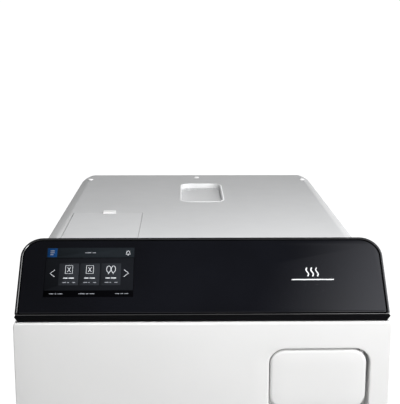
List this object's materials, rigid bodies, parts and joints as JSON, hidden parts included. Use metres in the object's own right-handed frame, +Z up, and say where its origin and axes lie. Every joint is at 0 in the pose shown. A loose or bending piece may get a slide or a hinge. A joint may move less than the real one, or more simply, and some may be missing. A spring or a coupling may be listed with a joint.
{
  "type": "benchtop autoclave",
  "caption": "Benchtop steam steriliser: steel cabinet round a pressure chamber with trays, slanted glass touch console and a side-hinged door with a paddle handle.",
  "frame": {"origin": "centre of the footprint at bench level", "axes": "+Z up, -Y towards the user (door side), +X to the user's right"},
  "size_m": [0.452, 0.57, 0.46],
  "materials": {
    "white_plastic": "satin moulded plastic",
    "grey_paint": "fine satin powder coat",
    "trim_grey": "matte moulded plastic",
    "black_housing": "gloss black moulding",
    "black_glass": "gloss black printed glass",
    "display": "lit display panel",
    "circuit_board": "solder mask",
    "chamber_steel": "brushed stainless steel",
    "bracket_steel": "zinc-plated steel",
    "bright_steel": "bright turned steel",
    "tray_metal": "satin anodised",
    "heater_metal": "heater band",
    "brass_fitting": "turned brass",
    "copper_fins": "copper tube and fins",
    "insulation": "felted glass fibre",
    "tank_plastic": "natural plastic",
    "red_silicone": "silicone seal",
    "foot_rubber": "moulded rubber",
    "black_plastic": "matte moulded plastic"
  },
  "bodies": {
    "root": {"base_pan": "bracket_steel", "feet": "foot_rubber", "cabinet_cover": "grey_paint", "rear_panel": "grey_paint", "front_plate": "bracket_steel", "front_bezel": "white_plastic", "lower_trim": "trim_grey", "fascia_housing": "black_housing", "fascia_glass": "black_glass", "display_module": "display", "display_board": "circuit_board", "main_board": "circuit_board", "power_supply": "bracket_steel", "chamber_vessel": "chamber_steel", "chamber_flange": "chamber_steel", "band_heaters": "heater_metal", "insulation_jacket": "insulation", "chamber_saddles": "bracket_steel", "tray_rack": "tray_metal", "reservoir_tank": "tank_plastic", "fill_well": "grey_paint", "fill_lid_pin": "bright_steel", "hatch_well": "grey_paint", "hatch_pin": "bright_steel", "air_filter": "tank_plastic", "fill_valve": "brass_fitting", "vent_valve": "brass_fitting", "condenser": "copper_fins", "fan_housing": "black_plastic", "fan_guard": "bright_steel", "power_inlet": "black_plastic", "switch_body": "black_plastic", "fuse_holders": "black_plastic", "drain_spigot": "brass_fitting", "relief_valve": "brass_fitting", "cover_screws": "bright_steel", "hinge_brackets": "bracket_steel", "hinge_pins": "bright_steel", "latch_keeper": "bracket_steel", "lock_solenoid": "black_plastic"},
    "door": {"door_shell": "white_plastic", "door_liner": "chamber_steel", "pressure_plate": "chamber_steel", "door_gasket": "red_silicone", "hinge_arms": "bracket_steel"},
    "handle": {"handle_paddle": "white_plastic", "handle_shaft": "bright_steel", "latch_hook": "bracket_steel"},
    "lid": {"fill_lid": "grey_paint"},
    "hatch": {"access_hatch": "grey_paint", "hatch_tab": "white_plastic"},
    "tray_bottom": {"tray_1": "tray_metal"},
    "tray_lower": {"tray_2": "tray_metal"},
    "tray_upper": {"tray_3": "tray_metal"},
    "tray_top": {"tray_4": "tray_metal"},
    "fan": {"fan_rotor": "black_plastic"},
    "rocker": {"power_rocker": "black_plastic"},
    "bolt": {"lock_bolt": "bright_steel"},
    "ring": {"relief_ring": "bright_steel"}
  },
  "joints": [
    {"name": "door_swing", "type": "hinge", "parent": "root", "child": "door", "pos_m": [-0.219, -0.243, 0.215], "axis": [0, 0, -1], "range_deg": [0, 105]},
    {"name": "handle_pull", "type": "hinge", "parent": "door", "child": "handle", "pos_m": [0.192, -0.274, 0.303], "axis": [0, 0, 1], "range_deg": [0, 35], "stiffness_Nm_per_rad": 1},
    {"name": "fill_lid_swing", "type": "hinge", "parent": "root", "child": "lid", "pos_m": [0.006, 0.185, 0.4416], "axis": [-1, 0, 0], "range_deg": [0, 90]},
    {"name": "hatch_swing", "type": "hinge", "parent": "root", "child": "hatch", "pos_m": [-0.132, -0.181, 0.447], "axis": [1, 0, 0], "range_deg": [0, 70]},
    {"name": "tray_1_slide", "type": "slide", "parent": "root", "child": "tray_bottom", "axis": [0, -1, 0], "range_m": [0, 0.028]},
    {"name": "tray_2_slide", "type": "slide", "parent": "root", "child": "tray_lower", "axis": [0, -1, 0], "range_m": [0, 0.028]},
    {"name": "tray_3_slide", "type": "slide", "parent": "root", "child": "tray_upper", "axis": [0, -1, 0], "range_m": [0, 0.028]},
    {"name": "tray_4_slide", "type": "slide", "parent": "root", "child": "tray_top", "axis": [0, -1, 0], "range_m": [0, 0.028]},
    {"name": "fan_spin", "type": "hinge", "parent": "root", "child": "fan", "pos_m": [-0.12, 0.25, 0.11], "axis": [0, 1, 0], "continuous": true},
    {"name": "power_rocker_tilt", "type": "hinge", "parent": "root", "child": "rocker", "pos_m": [0.096, 0.262, 0.062], "axis": [-1, 0, 0], "range_deg": [0, 16]},
    {"name": "lock_bolt_drop", "type": "slide", "parent": "root", "child": "bolt", "axis": [0, 0, -1], "range_m": [0, 0.011], "stiffness_N_per_m": 200},
    {"name": "relief_ring_pull", "type": "slide", "parent": "root", "child": "ring", "axis": [0, 1, 0], "range_m": [0, 0.004], "stiffness_N_per_m": 400}
  ]
}
